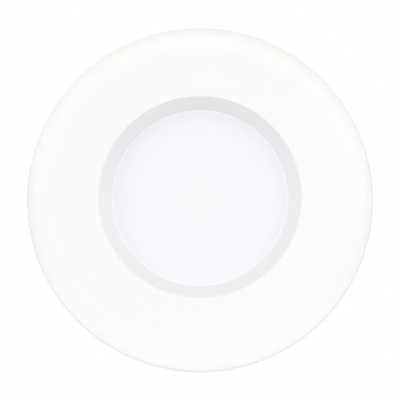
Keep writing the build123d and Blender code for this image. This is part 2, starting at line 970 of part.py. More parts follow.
def mains_lead(side):
    x = side * pole_pitch
    return disc(mains_lead_radius, board_top, pole_height - tunnel_half_side, x, 0)


def terminal_box():
    body = rounded_plate(box_half_length, box_half_width, box_corner_radius, housing_top, box_top)
    inside = rounded_plate(
        box_half_length - box_wall, box_half_width - box_wall, box_corner_radius - box_wall,
        box_floor, box_top + overrun,
    )
    body -= inside
    entry_centre = box_floor + entry_rise + entry_height / 2
    straight = (entry_width - entry_height) / 2
    for side in (-1, 1):
        y_low = min(side * (box_half_width - box_wall - overrun), side * (box_half_width + overrun))
        y_high = max(side * (box_half_width - box_wall - overrun), side * (box_half_width + overrun))
        body -= rod_along_y(entry_height / 2, -straight, entry_centre, y_low, y_high)
        body -= rod_along_y(entry_height / 2, straight, entry_centre, y_low, y_high)
        body -= block(
            -straight, straight, y_low, y_high,
            entry_centre - entry_height / 2, entry_centre + entry_height / 2,
        )
        for across in (-1, 1):
            x = across * clamp_screw_x
            y = side * clamp_offset
            body += disc(clamp_pillar_radius, housing_top, box_floor + clamp_pillar_height, x, y)
            hole_bottom = box_floor + clamp_pillar_height - clamp_screw_depth
            body -= disc(clamp_screw_radius + thread_clearance, hole_bottom, box_top, x, y)
        hole_radius = mains_lead_radius + mains_lead_clearance
        body -= disc(hole_radius, housing_top - overrun, box_floor + overrun, side * pole_pitch, 0)
        body -= disc(
            box_screw_radius + thread_clearance, housing_top - overrun, box_floor + overrun,
            side * box_screw_x, side * box_screw_y,
        )
        knuckle_low, knuckle_high = box_knuckle_span(side)
        body += hinge_knuckle(knuckle_low, knuckle_high, -box_half_length + box_wall / 2, box_top - lid_gap)
    return body - hinge_bore()


def hinge_bore():
    return rod_along_y(
        hinge_pin_radius + hinge_pin_clearance, hinge_x, hinge_z,
        -knuckle_half_span - overrun, knuckle_half_span + overrun,
    )


def box_knuckle_span(side):
    centre = knuckle_half_span * knuckle_centre_share
    low = min(side * (centre + knuckle_gap / 2), side * knuckle_half_span)
    high = max(side * (centre + knuckle_gap / 2), side * knuckle_half_span)
    return low, high


def hinge_knuckle(y_low, y_high, wall_x, web_top):
    body = rod_along_y(knuckle_radius, hinge_x, hinge_z, y_low, y_high)
    return body + block(hinge_x, wall_x, y_low, y_high, web_top - knuckle_radius, web_top)


def cable_clamp(side):
    y = side * clamp_offset
    bottom = box_floor + clamp_pillar_height
    top = bottom + clamp_thickness
    body = block(
        -clamp_half_length, clamp_half_length, y - clamp_half_width, y + clamp_half_width, bottom, top,
    )
    body = fillet(body.edges().filter_by(Axis.Z), clamp_half_width * clamp_corner_share)
    body -= rod_along_y(
        clamp_arch_radius, 0, bottom + clamp_arch_depth - clamp_arch_radius,
        y - clamp_half_width - overrun, y + clamp_half_width + overrun,
    )
    for across in (-1, 1):
        x = across * clamp_screw_x
        body -= disc(clamp_screw_radius + thread_clearance, bottom - overrun, top + overrun, x, y)
    return body


def clamp_screws():
    seat = box_floor + clamp_pillar_height + clamp_thickness
    bottom = box_floor + clamp_pillar_height - clamp_screw_depth
    screws = []
    for side in (-1, 1):
        for across in (-1, 1):
            x = across * clamp_screw_x
            y = side * clamp_offset
            head = slotted_head(clamp_screw_head_radius, seat, seat + clamp_screw_head_height, x, y)
            screws.append(head + disc(clamp_screw_radius, bottom, seat, x, y))
    return Compound(children=screws)


def pole_places():
    return [(index - (pole_count - 1) / 2) * pole_pitch for index in range(pole_count)]


def terminal_block():
    body = block(
        -block_half_length, block_half_length, -block_half_width, block_half_width, box_floor, block_top,
    )
    room = tunnel_half_side + tunnel_clearance
    for x in pole_places():
        body -= block(
            x - room, x + room, -tunnel_half_length - tunnel_clearance, tunnel_half_length + tunnel_clearance,
            pole_height - room, pole_height + room,
        )
        body -= rod_along_y(
            pole_bore_radius, x, pole_height, -block_half_width - overrun, block_half_width + overrun,
        )
        for side in (-1, 1):
            body -= disc(screw_well_radius, pole_height, block_top + overrun, x, side * terminal_screw_y)
            body -= disc(
                mains_lead_radius + mains_lead_clearance, box_floor - overrun, pole_height,
                side * pole_pitch, 0,
            )
    return body


def terminal_clamps():
    clamps = []
    for x in pole_places():
        body = block(
            x - tunnel_half_side, x + tunnel_half_side, -tunnel_half_length, tunnel_half_length,
            pole_height - tunnel_half_side, pole_height + tunnel_half_side,
        )
        body -= rod_along_y(
            pole_bore_radius, x, pole_height, -tunnel_half_length - overrun, tunnel_half_length + overrun,
        )
        for side in (-1, 1):
            body -= disc(
                terminal_screw_radius + thread_clearance, pole_height, block_top, x, side * terminal_screw_y,
            )
        clamps.append(body)
    return Compound(children=clamps)


def terminal_screws():
    top = block_top - terminal_screw_drop
    screws = []
    half_slot = terminal_screw_radius * screw_slot_width_share / 2
    slot_bottom = top - terminal_screw_radius * screw_slot_depth_share
    for x in pole_places():
        for side in (-1, 1):
            y = side * terminal_screw_y
            body = disc(terminal_screw_radius, pole_height, top, x, y)
            slot = block(
                x - terminal_screw_radius, x + terminal_screw_radius, y - half_slot, y + half_slot,
                slot_bottom, top + overrun,
            )
            screws.append(body - slot)
    return Compound(children=screws)


def box_screws():
    screws = []
    for side in (-1, 1):
        x = side * box_screw_x
        y = side * box_screw_y
        head = slotted_head(box_screw_head_radius, box_floor, box_floor + box_screw_head_height, x, y)
        screws.append(head + disc(box_screw_radius, housing_top - box_screw_depth, box_floor, x, y))
    return Compound(children=screws)


def terminal_lid():
    body = rounded_plate(box_half_length, box_half_width, box_corner_radius, lid_bottom, lid_top)
    inset = box_wall + skirt_clearance
    skirt_bottom = lid_bottom - skirt_depth
    skirt = rounded_plate(
        box_half_length - inset, box_half_width - inset, box_corner_radius - inset, skirt_bottom, lid_bottom,
    )
    inner = inset + skirt_wall
    skirt -= block(
        -box_half_length + inner, box_half_length - inner, -box_half_width + inner, box_half_width - inner,
        skirt_bottom - overrun, lid_bottom,
    )
    body += skirt
    for side in (-1, 1):
        low, high = box_knuckle_span(side)
        body -= block(
            hinge_x - knuckle_radius, -box_half_length + slip_clearance,
            low - knuckle_gap, high + knuckle_gap, lid_bottom - overrun, lid_top + overrun,
        )
    centre = knuckle_half_span * knuckle_centre_share - knuckle_gap / 2
    body += rod_along_y(knuckle_radius, hinge_x, hinge_z, -centre, centre)
    body += block(hinge_x, -box_half_length + box_wall / 2, -centre, centre, lid_bottom, lid_top)
    body += block(
        box_half_length - overrun, box_half_length + lid_lift_reach, -lid_lift_width / 2, lid_lift_width / 2,
        lid_bottom, lid_top,
    )
    return body - hinge_bore()


def lid_hinge_pin():
    return rod_along_y(hinge_pin_radius, hinge_x, hinge_z, -knuckle_half_span, knuckle_half_span)


# Face, optics and light source
save(bezel(), "bezel")
save(lens(), "lens")
save(lens_gasket(), "lens_gasket")
save(lens_ring(), "lens_ring")
for number, angle in enumerate(fixing_angles(180 / fixing_count), 1):
    save(ring_screw(angle), f"lens_ring_screw_{number}")
for number, angle in enumerate(fixing_angles(0), 1):
    save(magnet(angle), f"bezel_magnet_{number}")
save(ceiling_gasket(), "ceiling_gasket")
save(heat_sink(), "heat_sink")
save(square_plate(pad_half_side, substrate_top, platform_bottom), "thermal_pad")
save(square_plate(substrate_half_side, substrate_bottom, substrate_top), "led_substrate")
save(disc(phosphor_radius, substrate_bottom - phosphor_thickness, substrate_bottom), "led_phosphor")
save(led_holder(), "led_holder")
save(holder_screw(-1), "led_holder_screw_1")
save(holder_screw(1), "led_holder_screw_2")
save(reflector(), "reflector")
save(led_lead(-1), "led_lead_black")
save(led_lead(1), "led_lead_red")

# Clips
for name, mirrored in (("right", False), ("left", True)):
    save(clip_bracket(), f"{name}_clip_bracket", mirrored)
    save(clip_pin(), f"{name}_clip_pin", mirrored)
    save(clip_arm(), f"{name}_clip_arm", mirrored)
    save(clip_pad(), f"{name}_clip_pad", mirrored)
    save(torsion_spring(), f"{name}_torsion_spring", mirrored)
    save(clip_screws(), f"{name}_clip_screws", mirrored)

# Driver
save(driver_base(), "driver_base")
save(driver_housing(), "driver_housing")
for number, angle in enumerate(driver_post_angles, 1):
    save(driver_screw(angle), f"driver_screw_{number}")
save(driver_board(), "driver_board")
save(transformer_core(), "transformer_core")
save(transformer_winding(), "transformer_winding")
input_capacitor = capacitor(input_capacitor_radius_share, input_capacitor_height, capacitor_x_share)
output_capacitor = capacitor(output_capacitor_radius_share, output_capacitor_height, -capacitor_x_share)
rectifier_shares = (rectifier_length_share, rectifier_width_share)
chip_shares = (chip_length_share, chip_width_share)
rectifier = board_block(*rectifier_shares, rectifier_height, rectifier_x_share, rectifier_y_share)
controller_chip = board_block(*chip_shares, chip_height, chip_x_share, chip_y_share)
save(input_capacitor, "input_capacitor")
save(output_capacitor, "output_capacitor")
save(choke(), "choke")
save(rectifier, "rectifier")
save(controller_chip, "controller_chip")
save(fuse(), "fuse")

# Terminal box
save(mains_lead(-1), "mains_lead_brown")
save(mains_lead(1), "mains_lead_blue")
save(terminal_box(), "terminal_box")
save(box_screws(), "box_screws")
save(cable_clamp(-1), "cable_clamp_1")
save(cable_clamp(1), "cable_clamp_2")
save(clamp_screws(), "cable_clamp_screws")
save(terminal_block(), "terminal_block")
save(terminal_clamps(), "terminal_clamps")
save(terminal_screws(), "terminal_screws")
save(terminal_lid(), "terminal_lid")
save(lid_hinge_pin(), "lid_hinge_pin")

print("Least gap of the torsion spring to itself:", round(least_gap(spring_path()[0]), 3))
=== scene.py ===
import json
from math import cos, pi, radians, sin, tan

import bmesh
import bpy
import numpy as np
from mathutils import Matrix, Vector

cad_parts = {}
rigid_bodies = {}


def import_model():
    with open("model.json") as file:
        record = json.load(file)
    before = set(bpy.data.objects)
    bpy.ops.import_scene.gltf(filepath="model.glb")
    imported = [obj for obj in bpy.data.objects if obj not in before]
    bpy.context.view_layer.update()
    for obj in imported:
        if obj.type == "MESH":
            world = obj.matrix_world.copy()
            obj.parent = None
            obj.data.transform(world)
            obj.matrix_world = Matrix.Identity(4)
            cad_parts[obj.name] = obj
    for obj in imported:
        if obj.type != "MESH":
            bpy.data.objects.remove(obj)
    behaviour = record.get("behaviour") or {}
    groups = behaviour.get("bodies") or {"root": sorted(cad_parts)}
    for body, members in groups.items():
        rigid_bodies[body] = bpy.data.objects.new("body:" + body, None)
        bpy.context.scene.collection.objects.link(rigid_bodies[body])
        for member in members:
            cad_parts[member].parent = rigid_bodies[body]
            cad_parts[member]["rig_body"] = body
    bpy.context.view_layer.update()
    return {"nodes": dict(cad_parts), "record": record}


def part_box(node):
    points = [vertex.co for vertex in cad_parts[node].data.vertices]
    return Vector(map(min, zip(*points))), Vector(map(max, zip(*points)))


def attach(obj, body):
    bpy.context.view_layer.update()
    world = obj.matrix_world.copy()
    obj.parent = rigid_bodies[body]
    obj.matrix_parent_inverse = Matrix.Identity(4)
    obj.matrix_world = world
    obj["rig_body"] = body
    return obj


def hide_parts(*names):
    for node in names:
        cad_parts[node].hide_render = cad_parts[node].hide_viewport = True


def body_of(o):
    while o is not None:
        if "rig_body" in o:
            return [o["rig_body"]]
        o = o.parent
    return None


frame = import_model()
print("frame loaded, CAD nodes:", len(frame["nodes"]))

mm = 0.001  # profiles and outlines below are in millimetres
meshValues = {
    "sameSpot": 2e-7,       # points of a new surface that are nearer than this, in metres, become one
    "sameCadSpot": 2e-6,    # the same for a copy of a CAD mesh
    "sameSlope": 0.5,       # and its faces join where they turn less than this, in degrees
    "guardShare": 0.97,     # size of the ring that keeps a slab's end flat, as a share of the outline
    "leastCorner": 0.02,    # corner radius that always stays, in millimetres
}
slotOf = {row["node"]: row["material_slot"] for row in frame["record"]["subparts"]}


def boxOf(node):
    low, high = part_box(node)
    return np.array(low) / mm, np.array(high) / mm


# Mesh building

def gridFaces(rows, columns, first=0):
    # quads between neighbouring rows; the columns close on themselves
    row = np.arange(rows - 1)[:, None]
    column = np.arange(columns)[None, :]
    nextColumn = (column + 1) % columns
    corner = [row * columns + column, row * columns + nextColumn,
              (row + 1) * columns + nextColumn, (row + 1) * columns + column]
    return np.stack(corner, axis=-1).reshape(-1, 4) + first


def makeObject(name, parts, smoothAngle=None):
    # parts: a list of (points in mm, quads); merges doubled points and turns the faces outwards
    points = np.concatenate([part[0] for part in parts]) * mm
    offsets = np.cumsum([0] + [len(part[0]) for part in parts])
    quads = np.concatenate([part[1] + offset for part, offset in zip(parts, offsets)])
    mesh = bpy.data.meshes.new(name)
    mesh.from_pydata(points.tolist(), [], quads.tolist())
    work = bmesh.new()
    work.from_mesh(mesh)
    bmesh.ops.remove_doubles(work, verts=work.verts, dist=meshValues["sameSpot"])
    bmesh.ops.recalc_face_normals(work, faces=work.faces)
    work.to_mesh(mesh)
    work.free()
    mesh.shade_smooth()
    if smoothAngle:
        mesh.set_sharp_from_angle(angle=radians(smoothAngle))
    piece = bpy.data.objects.new(name, mesh)
    bpy.context.scene.collection.objects.link(piece)
    return piece


def roundedProfile(corners, steps=5, guard=0.12):
    # corners: (radius, height, fillet); each corner becomes an arc with a guard point beside it
    corners = np.array(corners, float)
    before = np.roll(corners, 1, axis=0)
    after = np.roll(corners, -1, axis=0)
    profile = []
    for corner, previous, following in zip(corners, before, after):
        here, fillet = corner[:2], corner[2]
        if fillet == 0:
            profile.append(here[None, :])
            continue
        into = (here - previous[:2]) / np.linalg.norm(here - previous[:2])
        out = (following[:2] - here) / np.linalg.norm(following[:2] - here)
        turn = np.arccos(np.clip(into @ out, -1, 1))
        reach = fillet * tan(turn / 2)
        start, end = here - into * reach, here + out * reach
        side = np.sign(into[0] * out[1] - into[1] * out[0])
        centre = start + side * fillet * np.array([-into[1], into[0]])
        count = max(2, int(steps * max(1, fillet)) + 1)
        sweep = np.linspace(0, side * turn, count)[:, None]
        spoke = start - centre
        arc = centre + spoke * np.cos(sweep) + np.array([-spoke[1], spoke[0]]) * np.sin(sweep)
        profile.append(np.concatenate([(start - into * guard)[None], arc, (end + out * guard)[None]]))
    return np.concatenate(profile)


def lathe(profile, turns=192, centre=(0, 0)):
    # every profile point (radius, height) turned about the upright axis through centre
    loop = np.vstack([profile, profile[:1]])
    angle = np.linspace(0, 2 * pi, turns, endpoint=False)[None, :]
    radius, height = loop[:, :1], loop[:, 1:2]
    points = np.stack([centre[0] + radius * np.cos(angle), centre[1] + radius * np.sin(angle),
                       height + 0 * angle], axis=-1)
    return points.reshape(-1, 3), gridFaces(len(loop), turns)


def slabProfile(low, high, edge, steps=3):
    # (inset, height) up the side of a slab with rounded lower and upper edges, closed to its middle
    sweep = np.linspace(0, pi / 2, steps + 1)
    lower = np.stack([edge * (1 - np.sin(sweep)), low + edge * (1 - np.cos(sweep))], axis=1)
    upper = np.stack([edge * (1 - np.cos(sweep)), high - edge * (1 - np.sin(sweep))], axis=1)
    return np.concatenate([lower, upper])


def stackedOutline(outlineAt, profile):
    # one outline per profile point, shrunk by its inset, with both ends drawn in to the middle
    rings = [np.column_stack([outlineAt(inset), np.full(len(outlineAt(inset)), height)])
             for inset, height in profile]
    middle = rings[0][:, :2].mean(axis=0)
    for end, at in ((0, 0), (-1, len(rings) + 1)):
        edgeRing = rings[end].copy()
        guardRing = edgeRing.copy()
        guardRing[:, :2] = middle + (edgeRing[:, :2] - middle) * meshValues["guardShare"]
        capRing = edgeRing.copy()
        capRing[:, :2] = middle
        extra = [capRing, guardRing] if at == 0 else [guardRing, capRing]
        rings = extra + rings if at == 0 else rings + extra
    columns = len(rings[0])
    return np.concatenate(rings), gridFaces(len(rings), columns)


def roundedRectangle(halfX, halfY, corner, steps=6):
    # four quarter circles; a positive inset shrinks the outline evenly
    quarter = np.linspace(0, pi / 2, steps + 1)
    angle = np.concatenate([quarter + turn * pi / 2 for turn in range(4)])
    signX = np.repeat([1, -1, -1, 1], steps + 1)
    signY = np.repeat([1, 1, -1, -1], steps + 1)

    def outlineAt(inset):
        radius = max(corner - inset, meshValues["leastCorner"])
        x = signX * (halfX - inset - radius) + radius * np.cos(angle)
        y = signY * (halfY - inset - radius) + radius * np.sin(angle)
        return np.column_stack([x, y])
    return outlineAt


def lugOutline(inner, reach, radius, steps=16):
    # a tab from the inner radius out to a half circle about reach
    sweep = np.linspace(-pi / 2, pi / 2, steps + 1)

    def outlineAt(inset):
        half = radius - inset
        end = np.column_stack([reach + half * np.cos(sweep), half * np.sin(sweep)])
        root = np.array([[inner + inset, half], [inner + inset, -half]])
        return np.concatenate([end, root])
    return outlineAt


def turned(part, degrees):
    # counterclockwise about the upright axis, seen from above
    angle = radians(degrees)
    matrix = np.array([[cos(angle), -sin(angle), 0], [sin(angle), cos(angle), 0], [0, 0, 1]])
    return part[0] @ matrix.T, part[1]


def shifted(part, x=0, y=0, z=0):
    return part[0] + np.array([x, y, z]), part[1]


def mirrored(part):
    return part[0] * np.array([-1, 1, 1]), part[1]


def tube(path, radius, across, sides=20):
    # circles square to the path; across is a direction that the path never follows
    tangent = np.gradient(path, axis=0)
    tangent /= np.linalg.norm(tangent, axis=1)[:, None]
    first = np.cross(tangent, np.array(across, float))
    first /= np.linalg.norm(first, axis=1)[:, None]
    second = np.cross(tangent, first)
    angle = np.linspace(0, 2 * pi, sides, endpoint=False)[None, :, None]
    ring = path[:, None] + radius * (first[:, None] * np.cos(angle) + second[:, None] * np.sin(angle))
    ends = [np.repeat(path[:1], sides, axis=0)[None], ring, np.repeat(path[-1:], sides, axis=0)[None]]
    ring = np.concatenate(ends)
    return ring.reshape(-1, 3), gridFaces(len(ring), sides)


def softCopy(node, width, segments=2, angle=35):
    # a merged copy of a CAD node with its sharp edges broken by a narrow bevel
    work = bmesh.new()
    work.from_mesh(frame["nodes"][node].data)
    bmesh.ops.remove_doubles(work, verts=work.verts, dist=meshValues["sameCadSpot"])
    slope = radians(meshValues["sameSlope"])
    bmesh.ops.dissolve_limit(work, angle_limit=slope, verts=work.verts, edges=work.edges)
    work.verts.ensure_lookup_table()
    points = [vertex.co[:] for vertex in work.verts]
    faces = [[vertex.index for vertex in face.verts] for face in work.faces]
    work.free()
    mesh = bpy.data.meshes.new(node + "Soft")
    mesh.from_pydata(points, [], faces)
    mesh.shade_smooth()
    piece = bpy.data.objects.new(node + "Soft", mesh)
    bpy.context.scene.collection.objects.link(piece)
    bevel = piece.modifiers.new("edges", "BEVEL")
    bevel.width = width * mm
    bevel.segments = segments
    bevel.limit_method = "ANGLE"
    bevel.angle_limit = radians(angle)
    bevel.harden_normals = True
    return piece


# Materials

def newMaterial(name, color, roughness, metallic=0.0):
    material = bpy.data.materials.new(name)
    material.use_nodes = True
    shader = material.node_tree.nodes["Principled BSDF"]
    shader.inputs["Base Color"].default_value = (*color, 1)
    shader.inputs["Roughness"].default_value = roughness
    shader.inputs["Metallic"].default_value = metallic
    return material, material.node_tree.nodes, material.node_tree.links, shader


def coordinates(nodes, links, scale=(1, 1, 1)):
    place = nodes.new("ShaderNodeTexCoord")
    mapping = nodes.new("ShaderNodeMapping")
    mapping.inputs["Scale"].default_value = scale
    links.new(place.outputs["Object"], mapping.inputs["Vector"])
    return mapping.outputs["Vector"]


def noise(nodes, links, vector, scale, detail=2.0):
    texture = nodes.new("ShaderNodeTexNoise")
    texture.inputs["Scale"].default_value = scale
    texture.inputs["Detail"].default_value = detail
    links.new(vector, texture.inputs["Vector"])
    return texture.outputs["Fac"]


def ramp(nodes, links, value, stops):
    # stops: (position, color)
    mixer = nodes.new("ShaderNodeValToRGB")
    elements = mixer.color_ramp.elements
    while len(elements) < len(stops):
        elements.new(0.5)
    for element, (position, color) in zip(elements, stops):
        element.position = position
        element.color = (*color, 1)
    links.new(value, mixer.inputs["Fac"])
    return mixer.outputs["Color"]


def spread(nodes, links, value, low, high, start=0.0, end=1.0):
    # maps the stretch from start to end onto low to high
    mapper = nodes.new("ShaderNodeMapRange")
    mapper.inputs["From Min"].default_value = start
    mapper.inputs["From Max"].default_value = end
    mapper.inputs["To Min"].default_value = low
    mapper.inputs["To Max"].default_value = high
    links.new(value, mapper.inputs["Value"])
    return mapper.outputs["Result"]


def bump(nodes, links, shader, height, strength, distance):
    relief = nodes.new("ShaderNodeBump")
    relief.inputs["Strength"].default_value = strength
    relief.inputs["Distance"].default_value = distance
    links.new(height, relief.inputs["Height"])
    links.new(relief.outputs["Normal"], shader.inputs["Normal"])


def radialShare(nodes, links, outer):
    # distance from the light's axis as a share of the outer radius in millimetres
    length = nodes.new("ShaderNodeVectorMath")
    length.operation = "LENGTH"
    links.new(coordinates(nodes, links, (1, 1, 0)), length.inputs[0])
    share = nodes.new("ShaderNodeMath")
    share.operation = "DIVIDE"
    share.inputs[1].default_value = outer * mm
    links.new(length.outputs["Value"], share.inputs[0])
    return share.outputs["Value"]


def shade(color, factor):
    return tuple(min(1.0, channel * factor) for channel in color)


whiteCoatLook = {
    "face": (0.9, 0.9, 0.9),
    "cone": (0.805, 0.803, 0.815),        # painted shade: the inward-facing conical ring is drawn a little deeper and cooler than the face
    "shoulder": (0.918, 0.917, 0.912),    # painted light: the curved shoulder, which catches light from the sides, is drawn a little lighter and warmer
    "rim": (0.783, 0.783, 0.779),         # painted shade: the outer edge, turned away from the light, is drawn darker
    "coneRadius": 25.6,
    "coneBlend": 0.02,
    "shoulderStart": 37.0,
    "shoulderEnd": 39.5,
    "rimStart": 43.45,
    "rimRadius": 44.0,
    "roughness": 0.42,
    "specular": 0.12,
    "glossScale": 240,
    "glossSpread": 0.03,
    "mottle": 0.006,          # how far the tone wanders
    "mottleScale": 60,
    "mottleStops": (0.3, 0.7),
    "peelScale": 900,         # size of the coat's orange peel, per metre
    "peelStrength": 0.25,
    "peelDepth": 0.000012,
}


def whiteCoat():
    look = whiteCoatLook
    material, nodes, links, shader = newMaterial("whiteCoat", look["face"], look["roughness"])
    shader.inputs["Specular IOR Level"].default_value = look["specular"]
    vector = coordinates(nodes, links)
    blend = look["coneBlend"]
    # the radial stops paint shade on the cone and on the outer edge, and light on the shoulder
    stops = [(look["coneRadius"] - blend, look["cone"]), (look["coneRadius"] + blend, look["face"]),
             (look["shoulderStart"], look["face"]), (look["shoulderEnd"], look["shoulder"]),
             (look["rimStart"], look["shoulder"]), (look["rimRadius"], look["rim"])]
    color = ramp(nodes, links, radialShare(nodes, links, look["rimRadius"]),
                 [(reach / look["rimRadius"], tone) for reach, tone in stops])
    wander = noise(nodes, links, vector, look["mottleScale"])
    mottle = spread(nodes, links, wander, 1 - look["mottle"], 1, *look["mottleStops"])
    mixer = nodes.new("ShaderNodeVectorMath")
    mixer.operation = "SCALE"
    links.new(color, mixer.inputs["Vector"])
    links.new(mottle, mixer.inputs["Scale"])
    links.new(mixer.outputs["Vector"], shader.inputs["Base Color"])
    gloss = noise(nodes, links, vector, look["glossScale"])
    least, most = look["roughness"] - look["glossSpread"], look["roughness"] + look["glossSpread"]
    links.new(spread(nodes, links, gloss, least, most), shader.inputs["Roughness"])
    peel = noise(nodes, links, vector, look["peelScale"], 1)
    bump(nodes, links, shader, peel, look["peelStrength"], look["peelDepth"])
    return material


opalLook = {
    "middle": (0.872, 0.852, 0.857),    # warmed by the source behind it
    "field": (0.864, 0.855, 0.896),
    "paintedShadeRing": (0.851, 0.843, 0.883),       # painted shade: a soft darker ring just inside the edge, where the bezel shades the lens
    "edge": (0.902, 0.893, 0.933),      # painted highlight: the edge itself is drawn brighter
    "warmRadius": 8.0,
    "dimStart": 19.5,
    "dimRadius": 21.6,
    "edgeRadius": 22.05,
    "radius": 22.62,
    "roughness": 0.3,
    "grainScale": 2600,
    "grainStrength": 0.3,
    "grainDepth": 0.000006,
    "milkiness": 0.15,
    "milkReach": 0.002,       # how far light spreads inside, in metres
}


def opalLens():
    look = opalLook
    material, nodes, links, shader = newMaterial("opalLens", look["field"], look["roughness"])
    # the ramp paints shade in a ring inside the edge and a highlight on the edge itself
    color = ramp(nodes, links, radialShare(nodes, links, look["radius"]), [
        (0.0, look["middle"]),
        (look["warmRadius"] / look["radius"], look["field"]),
        (look["dimStart"] / look["radius"], look["field"]),
        (look["dimRadius"] / look["radius"], look["paintedShadeRing"]),
        (look["edgeRadius"] / look["radius"], look["edge"]),
    ])
    links.new(color, shader.inputs["Base Color"])
    grain = noise(nodes, links, coordinates(nodes, links), look["grainScale"], 3)
    bump(nodes, links, shader, grain, look["grainStrength"], look["grainDepth"])
    shader.inputs["Subsurface Weight"].default_value = look["milkiness"]
    shader.inputs["Subsurface Radius"].default_value = (look["milkReach"],) * 3
    shader.inputs["Subsurface Scale"].default_value = 1.0
    return material


metalLook = {
    "toneShare": 0.2,         # scale of the wandering tone, as a share of the grain's
    "toneDetail": 4,
    "toneStops": (0.3, 0.7),
    "paleShare": 0.4,         # how much of the contrast goes to the paler side
    "glossShare": 0.5,        # scale of the uneven gloss, as a share of the grain's
    "glossSpread": 0.2,
    "grainDetail": 3,
    "grainStrength": 0.4,
}


def metal(name, color, roughness, grain, depth, streak=(1, 1, 1), contrast=0.12):
    # metal with a wandering tone, uneven gloss and a fine relief; streak stretches the grain
    look = metalLook
    material, nodes, links, shader = newMaterial(name, color, roughness, 1.0)
    vector = coordinates(nodes, links, streak)
    tone = noise(nodes, links, vector, grain * look["toneShare"], look["toneDetail"])
    tones = shade(color, 1 - contrast), shade(color, 1 + contrast * look["paleShare"])
    links.new(ramp(nodes, links, tone, list(zip(look["toneStops"], tones))), shader.inputs["Base Color"])
    gloss = noise(nodes, links, vector, grain * look["glossShare"])
    least, most = roughness * (1 - look["glossSpread"]), roughness * (1 + look["glossSpread"])
    links.new(spread(nodes, links, gloss, least, most), shader.inputs["Roughness"])
    relief = noise(nodes, links, vector, grain, look["grainDetail"])
    bump(nodes, links, shader, relief, look["grainStrength"], depth)
    return material


plasticLook = {
    "toneScale": 90,
    "toneDetail": 3,
    "toneStops": (0.3, 0.7),
    "glossShare": 0.4,        # scale of the uneven gloss, as a share of the grain's
    "glossSpread": 0.05,
    "grainStrength": 0.35,
}


def plastic(name, color, roughness, grain, depth, contrast=0.03):
    # moulded plastic: even colour with a fine spark-eroded grain
    look = plasticLook
    material, nodes, links, shader = newMaterial(name, color, roughness)
    vector = coordinates(nodes, links)
    tone = noise(nodes, links, vector, look["toneScale"], look["toneDetail"])
    tones = shade(color, 1 - contrast), color
    links.new(ramp(nodes, links, tone, list(zip(look["toneStops"], tones))), shader.inputs["Base Color"])
    gloss = noise(nodes, links, vector, grain * look["glossShare"])
    least, most = roughness - look["glossSpread"], roughness + look["glossSpread"]
    links.new(spread(nodes, links, gloss, least, most), shader.inputs["Roughness"])
    bump(nodes, links, shader, noise(nodes, links, vector, grain), look["grainStrength"], depth)
    return material


foamLook = {
    "roughness": 0.9,
    "cellScale": 1800,
    "cellStops": (0.1, 0.6),
    "cellShades": (0.6, 1.3),     # tone in a cell's middle and on its wall
    "cellStrength": 0.6,
    "cellDepth": 0.0001,
}


def cellFoam(name, color):
    # closed-cell foam: small round cells pressed into a matt surface
    look = foamLook
    material, nodes, links, shader = newMaterial(name, color, look["roughness"])
    cells = nodes.new("ShaderNodeTexVoronoi")
    cells.inputs["Scale"].default_value = look["cellScale"]
    links.new(coordinates(nodes, links), cells.inputs["Vector"])
    tones = [shade(color, factor) for factor in look["cellShades"]]
    tint = ramp(nodes, links, cells.outputs["Distance"], list(zip(look["cellStops"], tones)))
    links.new(tint, shader.inputs["Base Color"])
    bump(nodes, links, shader, cells.outputs["Distance"], look["cellStrength"], look["cellDepth"])
    return material


